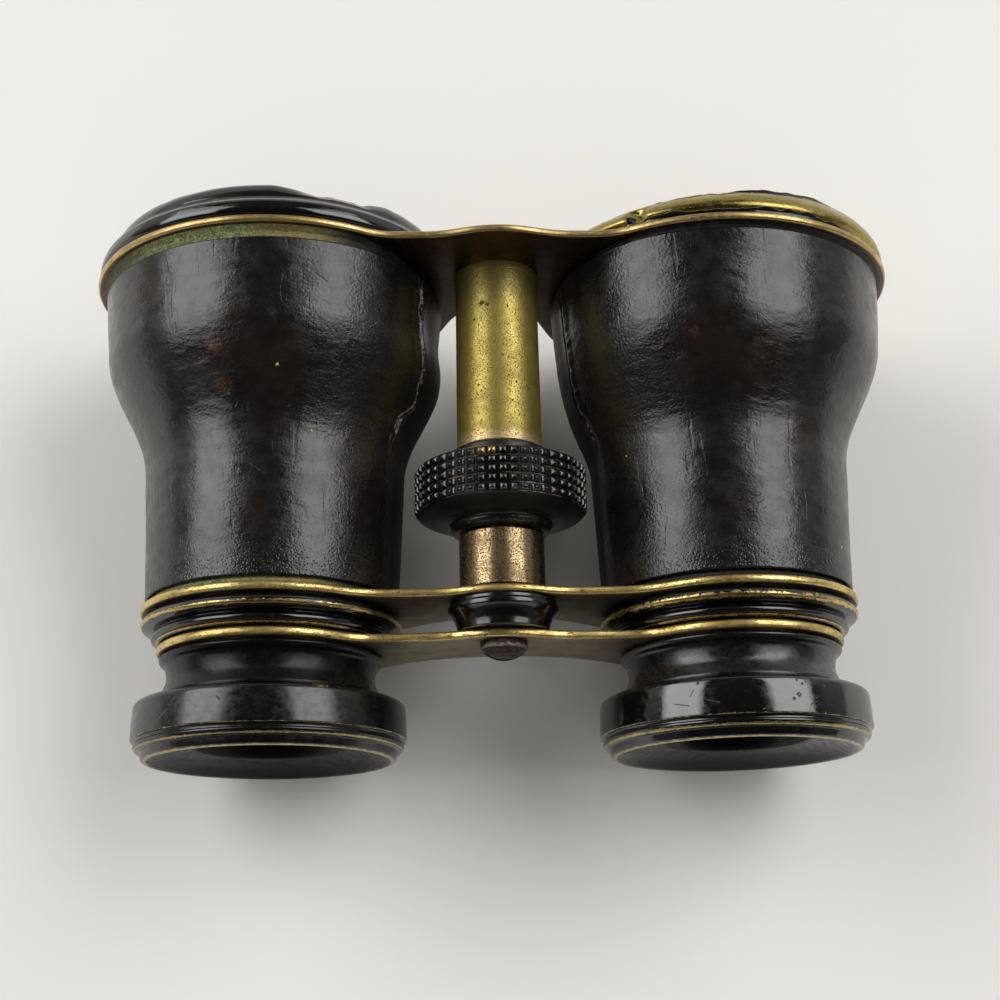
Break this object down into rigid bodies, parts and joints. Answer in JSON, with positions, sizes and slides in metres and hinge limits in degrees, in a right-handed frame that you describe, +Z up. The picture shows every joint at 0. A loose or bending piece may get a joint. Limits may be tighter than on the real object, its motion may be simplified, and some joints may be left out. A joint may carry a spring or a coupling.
{
  "type": "field glasses",
  "caption": "Antique Galilean field glasses with leather-covered brass barrels, brass bridges, a knurled focusing wheel on a centre column and black turned eyecups.",
  "frame": {"origin": "bottom centre of the bounding box, on the surface the glasses lie on", "axes": "+X to the user's right across the two barrels, +Y towards the objectives, +Z up; the barrels' axes rise 6.78 degrees towards the objectives because the glasses rest on the front rings and the eyecups"},
  "size_m": [0.117, 0.0796, 0.0528],
  "materials": {
    "brass": "tarnished, with dark pits",
    "bridge_brass": "darkened faces, worn bright edges",
    "browned_brass": "browned, speckled",
    "black_japan": "gloss black lacquer, worn to brass on its edges",
    "black_leather": "fine grain, polished by handling",
    "dark_steel": "dark, worn",
    "lens_glass": "polished"
  },
  "bodies": {
    "barrels": {"left_barrel_tube": "brass", "left_leather_cover": "black_leather", "left_objective_cell": "black_japan", "left_objective_crown": "lens_glass", "left_objective_flint": "lens_glass", "left_objective_ring": "black_japan", "left_draw_collar": "black_japan", "right_barrel_tube": "brass", "right_leather_cover": "black_leather", "right_objective_cell": "black_japan", "right_objective_crown": "lens_glass", "right_objective_flint": "lens_glass", "right_objective_ring": "black_japan", "right_draw_collar": "black_japan", "front_bridge": "bridge_brass", "rear_bridge": "bridge_brass", "column_tube": "brass", "column_sleeve": "browned_brass", "guide_boss": "black_japan", "column_screw": "brass"},
    "eyepieces": {"eyepiece_bridge": "bridge_brass", "left_draw_tube": "brass", "left_eyepiece_neck": "black_japan", "left_eyecup": "black_japan", "left_eye_lens": "lens_glass", "left_eye_lens_ring": "black_japan", "right_draw_tube": "brass", "right_eyepiece_neck": "black_japan", "right_eyecup": "black_japan", "right_eye_lens": "lens_glass", "right_eye_lens_ring": "black_japan", "focus_spindle": "browned_brass", "bridge_screw": "dark_steel"},
    "wheel": {"focus_wheel": "black_japan", "focus_nut": "brass"}
  },
  "joints": [
    {"name": "focus_turn", "type": "hinge", "parent": "barrels", "child": "wheel", "pos_m": [0, -0.00697, 0.03058], "axis": [0, 0.993, 0.1181], "range_deg": [0, 720]},
    {"name": "focus_slide", "type": "slide", "parent": "barrels", "child": "eyepieces", "axis": [0, -0.993, -0.1181], "range_m": [0, 0.013]}
  ],
  "couplings": [
    {"joint": "focus_turn", "follows": "focus_slide", "rad_per_m": 966.64}
  ]
}
